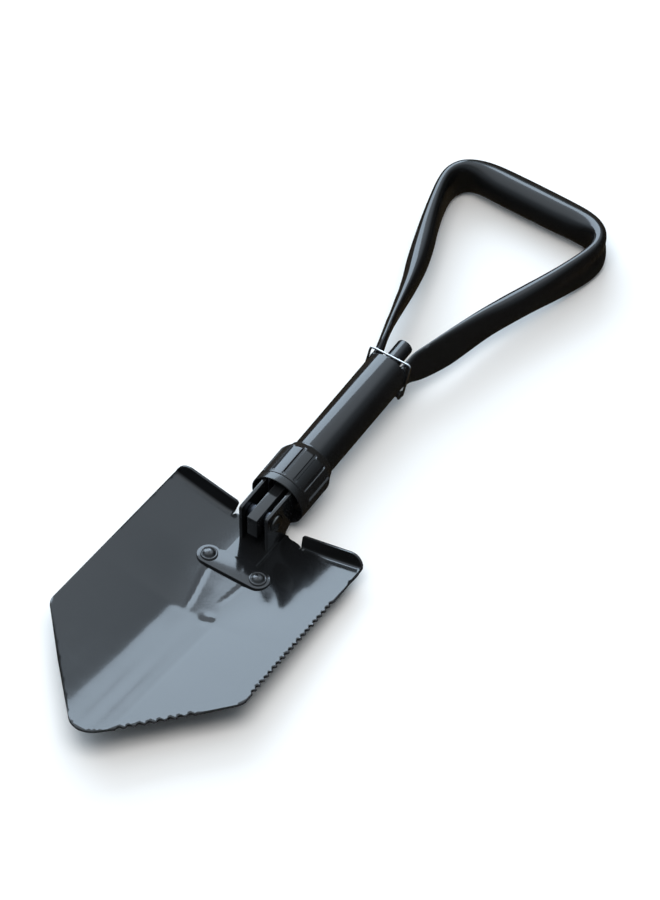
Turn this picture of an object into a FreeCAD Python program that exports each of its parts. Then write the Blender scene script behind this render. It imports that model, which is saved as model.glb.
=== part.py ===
"""Folding camp shovel with a screw collar and a folding D-handle. Every length is in millimetres.

Everything is drawn in the shaft's frame: X to the right, Y along the shaft towards the grip with 0 at the tube's upper
end, and Z out of the blade's hollow face with 0 on the shaft's axis. The last step lays the shovel on its back."""

import FreeCAD, Part

import math
import os

from FreeCAD import Rotation, Vector

# Shaft
TUBE_R = 15.6
TUBE_WALL = 1.7
TUBE_BORE_R = TUBE_R - TUBE_WALL
TUBE_LENGTH = 104.5
SLOT_HALF_WIDTH = 10.3  # slot in the tube's back that the handle's lugs swing through
SLOT_LENGTH = 26.0

# Threaded sleeve in the tube's lower end
THREAD_R = 16.6
THREAD_DEPTH = 0.8
THREAD_PITCH = 4.0
THREAD_TOP_Y = -TUBE_LENGTH
THREAD_END_Y = -128.0
SLEEVE_BORE_R = 12.2
SPIGOT_LENGTH = 36.0
CROSS_PIN_R = 3.0
CROSS_PIN_Y = -112.0

# Blade hinge
HINGE_Y = -154.5
HINGE_Z = 2.5
HINGE_PIN_R = 4.0
RUNNING_GAP = 0.08
TONGUE_HALF_WIDTH = 4.0
TONGUE_REACH = 12.2
TONGUE_HALF_HEIGHT = 9.0
TONGUE_PLUG_END_Y = -124.0
TONGUE_PLUG_TOP_Y = -106.0
EAR_INNER_X = 9.2
EAR_THICKNESS = 2.5
EAR_OUTER_X = EAR_INNER_X + EAR_THICKNESS
EAR_LIMIT_R = 25.2  # the ears stay inside this circle about the hinge so that they swing past the collar
EAR_TOP = 22.0
EAR_BOTTOM = -10.5
EAR_FRONT = 12.7
EAR_BACK = -22.0
SPACER_R = 8.0
SPACER_GAP = 0.2
PIN_HEAD_R = 6.5
PIN_HEAD_HEIGHT = 3.4

# Collar
COLLAR_R = 20.7
COLLAR_MOUTH_Y = -136.0
COLLAR_RING_TOP_Y = -129.8
COLLAR_BODY_END_Y = -129.5
COLLAR_CONE_Y = -103.0
COLLAR_TOP_Y = -94.5
COLLAR_TOP_R = 17.0
COLLAR_TOP_BORE_R = 15.9
COLLAR_BORE_R = 18.3
COLLAR_NUT_BORE_R = 16.9
COLLAR_NUT_TOP_Y = -104.5
COLLAR_NUT_END_Y = -125.7
COLLAR_RECESS_R = 20.1
RING_BORE_R = 19.4
RING_NECK_R = 19.9
RING_NECK_TOP_Y = -126.6
COLLAR_SLOTS = 14
COLLAR_SLOT_WIDTH = 2.2
COLLAR_SLOT_FLOOR_R = 19.5
COLLAR_SLOT_START_Y = -127.6

# Blade, drawn in its own frame: u runs from the bent top edge to the tip, w out of the hollow face
BLADE_TOP_Y = -148.5
BLADE_TOP_Z = -9.3
BLADE_TILT = 4.8
SHEET = 2.0
TOP_HALF_WIDTH = 76.5
CORNER_HALF_WIDTH = 79.0
CORNER_U = 145.0
TIP_U = 232.0
TIP_RADIUS = 15.0
CORNER_RADIUS = 5.0
TROUGH_HALF_WIDTH = 17.0
TROUGH_DEPTH = 12.4
TIP_DEPTH = 3.0
FULL_DEPTH_U = 90.0
SEAT_HALF_WIDTH = 28.5
SEAT_END_U = 54.0
SEAT_RUNOUT_U = 82.0
NOTCH_HALF_WIDTH = 28.0
NECK_HALF_WIDTH = 14.0
NOTCH_U = -4.5
FLANGE_HEIGHT = 7.5
FLANGE_LEAN = 15.0
FLANGE_BEND_R = 2.5
FLANGE_CORNER_R = 9.0
SIDE_TEETH = 20
SIDE_TEETH_START = 34.5
SIDE_TOOTH_PITCH = 5.05
SIDE_TOOTH_DEPTH = 1.9
LOWER_TEETH = 8
LOWER_TEETH_START = 33.5
LOWER_TOOTH_PITCH = 7.0
LOWER_TOOTH_DEPTH = 1.7

# Hinge bracket on the blade
PLATE = 2.0
PLATE_HALF_WIDTH = 12.5
PLATE_TOP_U = 3.5
PLATE_END_U = 46.0
RIVET_X = 20.0
RIVET_U = 40.0
LUG_R = 8.5
RIVET_R = 3.0
RIVET_HEAD_R = 6.3
RIVET_HEAD_HEIGHT = 3.2
RIVET_TAIL_R = 4.6
RIVET_TAIL_HEIGHT = 1.4
WASHER_R = 6.5
WASHER = 1.2

# Handle
HANDLE_PIN_Y = -6.7
HANDLE_PIN_Z = -10.0
HANDLE_PIN_R = 2.6
HANDLE_PIN_BORE_R = 1.1
HANDLE_PIN_HALF_LENGTH = 15.2
HANDLE_PIN_HEAD_R = 3.4
HANDLE_PIN_HEAD_X = 14.2
HANDLE_WALL = 1.4
LUG_INNER_X = 6.6
LUG_OUTER_X = 9.9
HANDLE_LUG_R = 4.8
LUG_TOP_Y = 7.0
ROOT_Y = 0.6

# Stud, spring and their guides
STUD_R = 6.0
STUD_Z = 3.7
STUD_TOP_Y = 22.5
STUD_EDGE = 0.8
STUD_FLANGE_R = 8.0
STUD_FLANGE_TOP_Y = -44.5
STUD_FLANGE_END_Y = -47.5
PLUG_TOP_Y = -16.0
PLUG_END_Y = -44.0
SPRING_R = 6.4
SPRING_WIRE_R = 0.7
SPRING_TURNS = 6
SPRING_SEAT_TOP_Y = -63.5
SPRING_SEAT_END_Y = -66.0
SLIDING_GAP = 0.1

# Wire bail
WIRE_R = 0.9
BAIL_HALF_WIDTH = 16.7
BAIL_BAR_Y = 4.4
BAIL_BAR_Z = 10.9
BAIL_BEND_R = 2.6
BAIL_HOOK_X = 12.5

# How the shovel lies
LIE_ANGLE = 0.1476
LIE_Y = 85.065
LIE_Z = 24.5623

X_AXIS = Vector(1, 0, 0)
Y_AXIS = Vector(0, 1, 0)
Z_AXIS = Vector(0, 0, 1)


def rod(radius, y_from, y_to, z=0.0):
    """Solid cylinder along the shaft."""
    low = min(y_from, y_to)
    return Part.makeCylinder(radius, abs(y_to - y_from), Vector(0, low, z), Y_AXIS)


def cross_rod(radius, x_from, x_to, y, z):
    """Solid cylinder across the shaft."""
    return Part.makeCylinder(radius, x_to - x_from, Vector(x_from, y, z), X_AXIS)


def block(x, y, z):
    """Box between three pairs of limits."""
    size = [high - low for low, high in (x, y, z)]
    return Part.makeBox(*size, Vector(x[0], y[0], z[0]))


def fused(shapes):
    """One clean solid from several that touch."""
    shape = shapes[0].fuse(shapes[1:]).removeSplitter()
    return shape.Solids[0] if len(shape.Solids) == 1 else shape


def turned(profile):
    """Solid of revolution about the shaft's axis from (radius, y) points."""
    points = [Vector(radius, y, 0) for radius, y in profile]
    face = Part.Face(Part.makePolygon(points + points[:1]))
    return face.revolve(Vector(0, 0, 0), Y_AXIS, 360)


def mirrored(shape):
    """Copy on the other side of the middle plane."""
    return shape.mirror(Vector(0, 0, 0), X_AXIS)


def domed_head(radius, height):
    """Low dome standing on the XY plane."""
    sphere_r = (radius**2 + height**2) / (2 * height)
    ball = Part.makeSphere(sphere_r, Vector(0, 0, height - sphere_r))
    return ball.common(Part.makeCylinder(radius, height))


def along_x(shape, x, y, z, sign):
    """Turns a shape drawn along +Z to point along the signed X axis at a place."""
    shape = shape.copy()
    turn = FreeCAD.Placement(Vector(x, y, z), Rotation(Y_AXIS, 90 * sign))
    shape.Placement = turn.multiply(shape.Placement)
    return shape


def in_blade_frame(shape):
    """Moves a shape drawn with Y along -u and Z along w to the blade's place."""
    shape = shape.copy()
    tilt = FreeCAD.Placement(Vector(0, BLADE_TOP_Y, BLADE_TOP_Z), Rotation(X_AXIS, -BLADE_TILT))
    shape.Placement = tilt.multiply(shape.Placement)
    return shape


def make_shaft_tube():
    tube = rod(TUBE_R, -TUBE_LENGTH, 0).cut(rod(TUBE_BORE_R, -TUBE_LENGTH - 1, 1))
    slot = block((-SLOT_HALF_WIDTH, SLOT_HALF_WIDTH), (-SLOT_LENGTH, 1), (-TUBE_R - 1, 0))
    pin_hole = cross_rod(HANDLE_PIN_R, -TUBE_R, TUBE_R, HANDLE_PIN_Y, HANDLE_PIN_Z)
    return tube.cut(slot).cut(pin_hole)


def make_threaded_sleeve():
    profile = [(SLEEVE_BORE_R, THREAD_END_Y), (THREAD_R - THREAD_DEPTH, THREAD_END_Y)]
    y = THREAD_END_Y + THREAD_PITCH / 4
    while y + THREAD_PITCH < THREAD_TOP_Y:
        profile += [
            (THREAD_R - THREAD_DEPTH, y),
            (THREAD_R, y + THREAD_PITCH * 0.2),
            (THREAD_R, y + THREAD_PITCH * 0.5),
            (THREAD_R - THREAD_DEPTH, y + THREAD_PITCH * 0.7),
        ]
        y += THREAD_PITCH
    profile += [
        (THREAD_R - THREAD_DEPTH, THREAD_TOP_Y),
        (TUBE_BORE_R, THREAD_TOP_Y),
        (TUBE_BORE_R, THREAD_TOP_Y + SPIGOT_LENGTH),
        (SLEEVE_BORE_R, THREAD_TOP_Y + SPIGOT_LENGTH),
    ]
    sleeve = turned(profile)
    return sleeve.cut(cross_rod(CROSS_PIN_R, -TUBE_R - 2, TUBE_R + 2, CROSS_PIN_Y, 0))


def make_sleeve_cross_pin():
    half = math.sqrt((THREAD_R - THREAD_DEPTH) ** 2 - CROSS_PIN_R**2)
    return cross_rod(CROSS_PIN_R, -half, half, CROSS_PIN_Y, 0)


def make_hinge_tongue():
    plug = rod(SLEEVE_BORE_R, TONGUE_PLUG_END_Y, TONGUE_PLUG_TOP_Y)
    height = (HINGE_Z - TONGUE_HALF_HEIGHT, HINGE_Z + TONGUE_HALF_HEIGHT)
    width = (-TONGUE_HALF_WIDTH, TONGUE_HALF_WIDTH)
    flat = block(width, (HINGE_Y - TONGUE_REACH, TONGUE_PLUG_END_Y + 1), height)
    tongue = fused([plug, flat])
    tongue = tongue.cut(cross_rod(CROSS_PIN_R, -TUBE_R, TUBE_R, CROSS_PIN_Y, 0))
    return tongue.cut(cross_rod(HINGE_PIN_R + RUNNING_GAP, *width, HINGE_Y, HINGE_Z))


def make_upper_end_plug():
    plug = rod(TUBE_BORE_R, PLUG_END_Y, PLUG_TOP_Y)
    slot = block((-SLOT_HALF_WIDTH, SLOT_HALF_WIDTH), (-SLOT_LENGTH, 1), (-TUBE_R, -STUD_R))
    return plug.cut(rod(STUD_R + SLIDING_GAP, PLUG_END_Y - 1, 0, STUD_Z)).cut(slot)


def make_spring_seat():
    return rod(TUBE_BORE_R, SPRING_SEAT_END_Y, SPRING_SEAT_TOP_Y)


def make_handle_pivot_pin():
    pin = cross_rod(HANDLE_PIN_R, -HANDLE_PIN_HALF_LENGTH, HANDLE_PIN_HALF_LENGTH, HANDLE_PIN_Y, HANDLE_PIN_Z)
    heads = [
        cross_rod(HANDLE_PIN_HEAD_R, *sorted((side * HANDLE_PIN_HEAD_X, side * HANDLE_PIN_HALF_LENGTH)),
                  HANDLE_PIN_Y, HANDLE_PIN_Z)
        for side in (-1, 1)
    ]
    bore = cross_rod(HANDLE_PIN_BORE_R, -TUBE_R, TUBE_R, HANDLE_PIN_Y, HANDLE_PIN_Z)
    return fused([pin] + heads).cut(bore)


def make_lock_plunger():
    stud = rod(STUD_R, STUD_FLANGE_END_Y, STUD_TOP_Y, STUD_Z)
    top = [edge for edge in stud.Edges if edge.BoundBox.YMin > STUD_TOP_Y - 0.1]
    stud = stud.makeChamfer(STUD_EDGE, top)
    return fused([stud, rod(STUD_FLANGE_R, STUD_FLANGE_END_Y, STUD_FLANGE_TOP_Y, STUD_Z)])


def make_lock_spring():
    length = STUD_FLANGE_END_Y - SPRING_SEAT_TOP_Y - 2 * SPRING_WIRE_R
    helix = Part.makeHelix(length / SPRING_TURNS, length, SPRING_R)
    start = Part.Circle(Vector(SPRING_R, 0, 0), Y_AXIS, SPRING_WIRE_R)
    profile = Part.Wire(start.toShape())
    coil = Part.Wire(helix).makePipeShell([profile], True, True)
    coil.Placement = FreeCAD.Placement(Vector(0, SPRING_SEAT_TOP_Y + SPRING_WIRE_R, STUD_Z), Rotation(X_AXIS, -90))
    return coil


def make_collar_sleeve():
    body = turned([
        (COLLAR_BORE_R, COLLAR_NUT_TOP_Y),
        (COLLAR_TOP_BORE_R, COLLAR_NUT_TOP_Y),
        (COLLAR_TOP_BORE_R, COLLAR_TOP_Y),
        (COLLAR_TOP_R, COLLAR_TOP_Y),
        (COLLAR_TOP_R, COLLAR_TOP_Y - 1.5),
        (COLLAR_R, COLLAR_CONE_Y),
        (COLLAR_R, COLLAR_BODY_END_Y),
        (COLLAR_RECESS_R, COLLAR_BODY_END_Y),
        (COLLAR_RECESS_R, COLLAR_NUT_END_Y - 0.5),
        (COLLAR_BORE_R, COLLAR_NUT_END_Y - 0.5),
    ])
    half = COLLAR_SLOT_WIDTH / 2
    slot = block((-half, half), (COLLAR_SLOT_START_Y, COLLAR_TOP_Y + 1), (COLLAR_SLOT_FLOOR_R, COLLAR_R + 1))
    for index in range(COLLAR_SLOTS):
        cutter = slot.copy()
        cutter.rotate(Vector(0, 0, 0), Y_AXIS, index * 360 / COLLAR_SLOTS)
        body = body.cut(cutter)
    return body


def make_collar_insert_nut():
    return rod(COLLAR_BORE_R, COLLAR_NUT_END_Y, COLLAR_NUT_TOP_Y).cut(rod(COLLAR_NUT_BORE_R, -130, -90))


def make_collar_front_ring():
    edge = 0.9
    return turned([
        (RING_BORE_R, COLLAR_MOUTH_Y + edge),
        (RING_BORE_R + edge, COLLAR_MOUTH_Y),
        (COLLAR_R - edge, COLLAR_MOUTH_Y),
        (COLLAR_R, COLLAR_MOUTH_Y + edge),
        (COLLAR_R, COLLAR_RING_TOP_Y),
        (RING_NECK_R, COLLAR_RING_TOP_Y),
        (RING_NECK_R, RING_NECK_TOP_Y),
        (RING_BORE_R, RING_NECK_TOP_Y),
    ])


def blade_section(u, floor_half, shoulder_half, depth):
    """Closed cross-section of the sheet at one distance from the top edge."""
    outer = CORNER_HALF_WIDTH + 2
    slope = depth / (CORNER_HALF_WIDTH - TROUGH_HALF_WIDTH)
    front = [
        (outer, slope * (outer - CORNER_HALF_WIDTH)),
        (shoulder_half, slope * (shoulder_half - CORNER_HALF_WIDTH)),
        (floor_half, -depth),
    ]
    front += [(-x, w) for x, w in reversed(front)]
    back = [(x, w - SHEET) for x, w in reversed(front)]
    points = [Vector(x, -u, w) for x, w in front + back]
    return Part.makePolygon(points + points[:1])


def toothed_edge(start, end, first, count, pitch, depth):
    """Points along a straight edge with a saw of teeth cut into its right-hand side."""
    run = math.dist(start, end)
    along = ((end[0] - start[0]) / run, (end[1] - start[1]) / run)
    inward = (-along[1], along[0])
    points = []
    for index in range(count):
        for step, cut in ((0.0, 0.0), (0.35, depth), (0.7, 0.0)):
            s = first + (index + step) * pitch
            points.append((start[0] + s * along[0] + cut * inward[0], start[1] + s * along[1] + cut * inward[1]))
    return points


def blade_outline():
    """Outline of the blade in its own plane as (x, u) points, clockwise from the left end of the neck."""
    lower_run = math.hypot(CORNER_HALF_WIDTH, TIP_U - CORNER_U)
    toward_tip = (-CORNER_HALF_WIDTH / lower_run, (TIP_U - CORNER_U) / lower_run)
    tip_cut = TIP_RADIUS * (TIP_U - CORNER_U) / CORNER_HALF_WIDTH
    tip_start = (-toward_tip[0] * tip_cut, TIP_U - toward_tip[1] * tip_cut)
    half_angle = math.atan2(CORNER_HALF_WIDTH, TIP_U - CORNER_U)
    centre_u = TIP_U - TIP_RADIUS / math.sin(half_angle)
    corner = (CORNER_HALF_WIDTH, CORNER_U)
    top = (TOP_HALF_WIDTH, 0.0)
    side_run = math.dist(top, corner)
    back = CORNER_RADIUS * 0.8
    before_corner = (corner[0] - back * (corner[0] - top[0]) / side_run, corner[1] - back * corner[1] / side_run)
    after_corner = (corner[0] + back * toward_tip[0], corner[1] + back * toward_tip[1])
    mid_corner = (corner[0] - 0.22 * back, corner[1] + 0.02 * back)
    neck = [
        (NECK_HALF_WIDTH, NOTCH_U - 2),
        (NECK_HALF_WIDTH + 3, NOTCH_U - 0.4),
        (NECK_HALF_WIDTH + 7, NOTCH_U),
        (NOTCH_HALF_WIDTH - 4, NOTCH_U + 0.6),
        (NOTCH_HALF_WIDTH - 0.5, NOTCH_U + 3),
        (NOTCH_HALF_WIDTH, 0.0),
    ]
    plain_side = [top, before_corner, mid_corner, after_corner]
    saw_side = [top]
    saw_side += toothed_edge(top, corner, SIDE_TEETH_START, SIDE_TEETH, SIDE_TOOTH_PITCH, SIDE_TOOTH_DEPTH)
    saw_side += [before_corner, mid_corner, after_corner]
    saw_side += toothed_edge(corner, (0.0, TIP_U), LOWER_TEETH_START, LOWER_TEETH, LOWER_TOOTH_PITCH, LOWER_TOOTH_DEPTH)
    sweep = math.pi / 2 - half_angle
    tip = []
    for index in range(9):
        angle = sweep * (1 - index / 4)
        tip.append((TIP_RADIUS * math.sin(angle), centre_u + TIP_RADIUS * math.cos(angle)))
    right = neck + saw_side + [tip_start]
    left = [(-x, u) for x, u in reversed(neck + plain_side + [tip_start])]
    return right + tip[1:-1] + left


def make_flange(side):
    """Foot step: the bent strip along one wing's top edge."""
    slope = math.atan2(TROUGH_DEPTH, CORNER_HALF_WIDTH - TROUGH_HALF_WIDTH)
    lean = math.radians(90 - FLANGE_LEAN)
    inner_r = FLANGE_BEND_R
    outer_r = FLANGE_BEND_R + SHEET
    # The bend's centre stands inner_r in front of the sheet, above the top edge.
    bend = []
    for radius, order in ((outer_r, 1), (inner_r, -1)):
        arc = [(radius * math.sin(lean * k / 6), inner_r - radius * math.cos(lean * k / 6)) for k in range(7)]
        end = arc[-1]
        arc.append((end[0] + FLANGE_HEIGHT * math.cos(lean), end[1] + FLANGE_HEIGHT * math.sin(lean)))
        bend += arc[::order]
    length = (TOP_HALF_WIDTH - NOTCH_HALF_WIDTH) / math.cos(slope)
    points = [Vector(0, y, z) for y, z in bend]
    strip = Part.Face(Part.makePolygon(points + points[:1])).extrude(Vector(length, 0, 0))
    # Round the outer top corner with a plate-shaped cutter.
    top = max(z for _, z in bend)
    corner = block((length - FLANGE_CORNER_R, length + 1), (-5, 20), (top - FLANGE_CORNER_R, top + 1))
    keep = Part.makeCylinder(FLANGE_CORNER_R, 30, Vector(length - FLANGE_CORNER_R, -6, top - FLANGE_CORNER_R), Y_AXIS)
    strip = strip.cut(corner.cut(keep))
    height = -math.tan(slope) * (CORNER_HALF_WIDTH - NOTCH_HALF_WIDTH)
    strip.Placement = FreeCAD.Placement(Vector(NOTCH_HALF_WIDTH, 0, height), Rotation(Y_AXIS, -math.degrees(slope)))
    return strip if side > 0 else mirrored(strip)


def make_blade():
    stations = [
        (-12.0, SEAT_HALF_WIDTH, SEAT_HALF_WIDTH + 3, TROUGH_DEPTH),
        (SEAT_END_U, SEAT_HALF_WIDTH, SEAT_HALF_WIDTH + 3, TROUGH_DEPTH),
        (SEAT_RUNOUT_U, TROUGH_HALF_WIDTH, TROUGH_HALF_WIDTH + 0.6, TROUGH_DEPTH),
        (FULL_DEPTH_U, TROUGH_HALF_WIDTH, TROUGH_HALF_WIDTH + 0.6, TROUGH_DEPTH),
        (TIP_U, TROUGH_HALF_WIDTH, TROUGH_HALF_WIDTH + 0.6, TIP_DEPTH),
    ]
    sheet = Part.makeLoft([blade_section(*station) for station in stations], True, True)
    outline = [Vector(x, -u, -TROUGH_DEPTH - 10) for x, u in blade_outline()]
    cookie = Part.Face(Part.makePolygon(outline + outline[:1])).extrude(Vector(0, 0, TROUGH_DEPTH + 30))
    sheet = sheet.common(cookie)
    blade = fused([sheet, make_flange(1), make_flange(-1)])
    for side in (-1, 1):
        hole = Part.makeCylinder(RIVET_R, 30, Vector(side * RIVET_X, -RIVET_U, -TROUGH_DEPTH - 15))
        blade = blade.cut(hole)
    return in_blade_frame(blade)


def make_blade_bracket():
    bottom = -TROUGH_DEPTH
    level = (bottom, bottom + PLATE)
    plate = block((-PLATE_HALF_WIDTH, PLATE_HALF_WIDTH), (-PLATE_END_U, -PLATE_TOP_U), level)
    bridge = block((-RIVET_X, RIVET_X), (-PLATE_END_U, -RIVET_U + LUG_R - 1), level)
    lugs = [Part.makeCylinder(LUG_R, PLATE, Vector(side * RIVET_X, -RIVET_U, bottom)) for side in (-1, 1)]
    plate = fused([plate, bridge] + lugs)
    for side in (-1, 1):
        plate = plate.cut(Part.makeCylinder(RIVET_R, 10, Vector(side * RIVET_X, -RIVET_U, bottom - 5)))
    plate = in_blade_frame(plate)
    below = in_blade_frame(block((-50, 50), (-60, 60), (bottom - 30, bottom + PLATE / 2)))
    ears = []
    for side in (-1, 1):
        width = sorted((side * EAR_INNER_X, side * EAR_OUTER_X))
        ear = block(width, (HINGE_Y + EAR_BOTTOM, HINGE_Y + EAR_TOP), (HINGE_Z + EAR_BACK, HINGE_Z + EAR_FRONT))
        ear = ear.common(cross_rod(EAR_LIMIT_R, *width, HINGE_Y, HINGE_Z))
        lower_front = [
            edge for edge in ear.Edges
            if abs(edge.CenterOfMass.y - HINGE_Y - EAR_BOTTOM) < 0.01 and abs(edge.CenterOfMass.z - HINGE_Z - EAR_FRONT) < 0.01
        ]
        ear = ear.makeFillet(2.0, lower_front)
        ears.append(ear.cut(below))
    bracket = fused([plate] + ears)
    return bracket.cut(cross_rod(HINGE_PIN_R, -20, 20, HINGE_Y, HINGE_Z))


def make_rivet(side):
    front = -TROUGH_DEPTH + PLATE
    back = -TROUGH_DEPTH - SHEET - WASHER
    head = domed_head(RIVET_HEAD_R, RIVET_HEAD_HEIGHT)
    head.translate(Vector(0, 0, front))
    shank = Part.makeCylinder(RIVET_R, front - back + 0.5, Vector(0, 0, back))
    tail = Part.makeCylinder(RIVET_TAIL_R, RIVET_TAIL_HEIGHT, Vector(0, 0, back - RIVET_TAIL_HEIGHT))
    rivet = fused([head, shank, tail])
    rivet.translate(Vector(side * RIVET_X, -RIVET_U, 0))
    return in_blade_frame(rivet)


def make_rivet_washer(side):
    back = -TROUGH_DEPTH - SHEET - WASHER
    centre = Vector(side * RIVET_X, -RIVET_U, back)
    return in_blade_frame(Part.makeCylinder(WASHER_R, WASHER, centre).cut(Part.makeCylinder(RIVET_R, WASHER, centre)))


def make_blade_hinge_pin():
    pin = cross_rod(HINGE_PIN_R, -EAR_OUTER_X - 0.5, EAR_OUTER_X + 0.5, HINGE_Y, HINGE_Z)
    heads = [
        along_x(domed_head(PIN_HEAD_R, PIN_HEAD_HEIGHT), side * EAR_OUTER_X, HINGE_Y, HINGE_Z, side)
        for side in (-1, 1)
    ]
    return fused([pin] + heads)


def make_hinge_spacer(side):
    limits = sorted((side * (TONGUE_HALF_WIDTH + SPACER_GAP), side * EAR_INNER_X))
    ring = cross_rod(SPACER_R, *limits, HINGE_Y, HINGE_Z)
    return ring.cut(cross_rod(HINGE_PIN_R, *limits, HINGE_Y, HINGE_Z))


# Handle stations from the right-hand root to the middle of the grip:
# centre x, centre y, centre z, direction of travel in degrees from +Y towards +X, half thickness, half depth,
# waist on the outer side, waist on the inner side, outward lean of the back.
HANDLE_STATIONS = [
    (11.8, ROOT_Y, 0.0, 4.0, 3.7, 9.5, 0.00, 0.00, 0.0),
    (12.6, 6.2, 0.0, 10.0, 3.5, 9.7, 0.04, 0.04, 1.0),
    (15.0, 14.0, 0.2, 18.0, 3.5, 12.0, 0.15, 0.10, 2.2),
    (18.4, 24.0, -0.4, 18.0, 3.6, 12.8, 0.22, 0.12, 2.8),
    (22.8, 39.0, -1.4, 15.0, 4.1, 13.4, 0.20, 0.12, 3.0),
    (26.8, 56.0, -2.4, 13.5, 5.0, 13.2, 0.12, 0.08, 2.4),
    (31.4, 75.0, -3.5, 15.5, 6.2, 12.6, 0.05, 0.04, 1.4),
    (37.4, 94.0, -4.6, 18.5, 7.6, 12.2, 0.00, 0.00, 0.5),
    (44.2, 113.0, -5.6, 20.0, 7.8, 12.8, 0.04, 0.02, 0.0),
    (51.0, 131.0, -6.6, 19.5, 7.2, 14.2, 0.15, 0.08, 0.0),
    (56.6, 148.0, -7.6, 14.5, 6.6, 15.6, 0.32, 0.14, 0.0),
    (60.2, 162.0, -8.2, 6.0, 6.4, 16.4, 0.45, 0.18, 0.0),
    (60.8, 172.5, -8.6, -12.0, 6.6, 16.4, 0.48, 0.18, 0.0),
    (57.2, 181.5, -8.8, -43.0, 7.4, 15.6, 0.36, 0.14, 0.0),
    (49.5, 187.2, -9.0, -67.0, 9.4, 14.2, 0.16, 0.06, 0.0),
    (38.0, 189.6, -9.0, -84.0, 11.6, 13.0, 0.03, 0.00, 0.0),
    (18.0, 190.0, -9.0, -90.0, 12.7, 12.7, 0.00, 0.00, 0.0),
]
SECTION_POINTS = 16


def handle_section(station, inset):
    """Closed section of the crushed tube at one station, shrunk by an inset."""
    x, y, z, heading, half_thick, half_deep, outer_waist, inner_waist, lean = station
    angle = math.radians(heading)
    outward = Vector(math.cos(angle), -math.sin(angle), 0)
    centre = Vector(x, y, z)
    square = 0.72 + 0.28 * (half_thick / half_deep) ** 2
    points = []
    for index in range(SECTION_POINTS):
        t = 2 * math.pi * index / SECTION_POINTS
        depth = math.copysign(abs(math.sin(t)) ** square, math.sin(t))
        waist = outer_waist if math.cos(t) > 0 else inner_waist
        squeeze = 1 - waist * (1 - depth**2) ** 2
        thick = (half_thick * squeeze - inset) * math.copysign(abs(math.cos(t)) ** square, math.cos(t))
        points.append(centre + outward * (thick - lean * depth) + Z_AXIS * ((half_deep - inset) * depth))
    curve = Part.BSplineCurve()
    curve.interpolate(points, PeriodicFlag=True)
    return Part.Wire(curve.toShape())


def handle_stations():
    """All the stations from the right-hand root round to the left-hand root."""
    left = []
    for station in reversed(HANDLE_STATIONS):
        x, y, z, heading, half_thick, half_deep, outer_waist, inner_waist, lean = station
        left.append((-x, y, z, -180 - heading, half_thick, half_deep, outer_waist, inner_waist, lean))
    return HANDLE_STATIONS + left


def make_handle_tube():
    stations = handle_stations()
    skin = Part.makeLoft([handle_section(station, 0.0) for station in stations], True, False)
    hollow = Part.makeLoft([handle_section(station, HANDLE_WALL) for station in stations[3:-3]], True, True)
    tube = skin.cut(hollow)
    pieces = [tube]
    for side in (-1, 1):
        width = sorted((side * LUG_INNER_X, side * LUG_OUTER_X))
        disc = cross_rod(HANDLE_LUG_R, *width, HANDLE_PIN_Y, HANDLE_PIN_Z)
        strap = block(width, (HANDLE_PIN_Y, LUG_TOP_Y), (HANDLE_PIN_Z + 3, HANDLE_PIN_Z + 3 + 2 * HANDLE_LUG_R))
        neck = block(width, (HANDLE_PIN_Y, ROOT_Y + 1), (HANDLE_PIN_Z, HANDLE_PIN_Z + 3 + 2 * HANDLE_LUG_R))
        pieces += [disc, strap, neck]
    handle = fused(pieces)
    bore = cross_rod(HANDLE_PIN_R + RUNNING_GAP, -12, 12, HANDLE_PIN_Y, HANDLE_PIN_Z)
    return handle.cut(bore)


def make_wire_bail():
    bar = Vector(0, BAIL_BAR_Y, BAIL_BAR_Z)
    pin = Vector(0, HANDLE_PIN_Y, HANDLE_PIN_Z)
    across = X_AXIS * BAIL_HALF_WIDTH
    corners = [
        pin + X_AXIS * BAIL_HOOK_X,
        pin + across,
        bar + across,
        bar - across,
        pin - across,
        pin - X_AXIS * BAIL_HOOK_X,
    ]
    path = []
    last = corners[0]
    for before, corner, after in zip(corners, corners[1:], corners[2:]):
        into = (corner - before).normalize()
        away = (after - corner).normalize()
        radius = BAIL_BEND_R
        if abs(corner.z - HANDLE_PIN_Z) < 0.01:
            radius = 1.4
        start = corner - into * radius
        end = corner + away * radius
        centre = corner - into * radius + away * radius
        middle = centre + (corner - centre).normalize() * radius
        path.append(Part.LineSegment(last, start).toShape())
        path.append(Part.Arc(start, middle, end).toShape())
        last = end
    path.append(Part.LineSegment(last, corners[-1]).toShape())
    wire = Part.Wire(path)
    profile = Part.Wire(Part.Circle(corners[0], X_AXIS, WIRE_R).toShape())
    return wire.makePipeShell([profile], True, True)


def laid_down(shape):
    """Lays the finished shovel on its back with the origin under its middle."""
    shape = shape.copy()
    lie = FreeCAD.Placement(Vector(0, LIE_Y, LIE_Z), Rotation(X_AXIS, LIE_ANGLE))
    shape.Placement = lie.multiply(shape.Placement)
    return shape


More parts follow.
